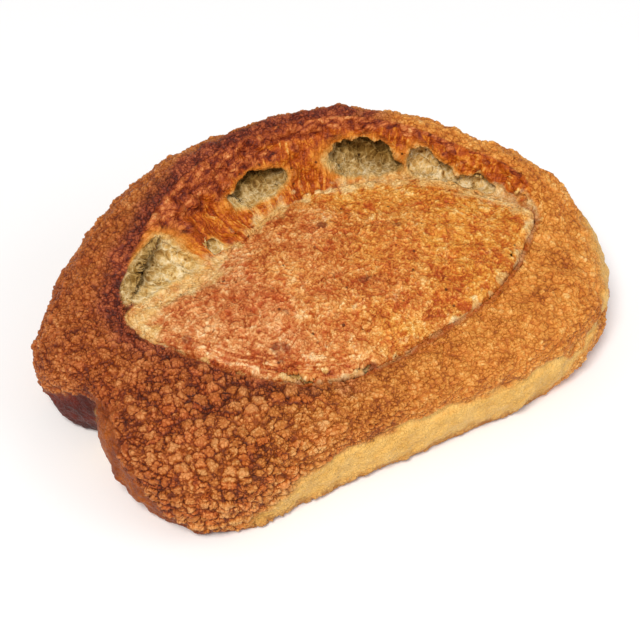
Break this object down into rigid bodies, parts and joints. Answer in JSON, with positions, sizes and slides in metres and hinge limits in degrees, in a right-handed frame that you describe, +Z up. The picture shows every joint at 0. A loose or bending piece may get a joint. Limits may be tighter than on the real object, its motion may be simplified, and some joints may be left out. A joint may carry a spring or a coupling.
{
  "type": "sourdough loaf",
  "caption": "Torn sourdough loaf with a pebbled brown crust, a tall ear with open crumb pockets, a golden bloom and a flat base to rest on.",
  "frame": {"origin": "middle of the loaf's bounding box, on the flat base", "axes": "+X along the loaf, away from the end with two lobes; +Y towards the tall ear; +Z up"},
  "size_m": [0.2714, 0.188, 0.0828],
  "materials": {
    "crust": "matte baked crust"
  },
  "bodies": {
    "root": {"loaf": "crust"}
  },
  "joints": []
}
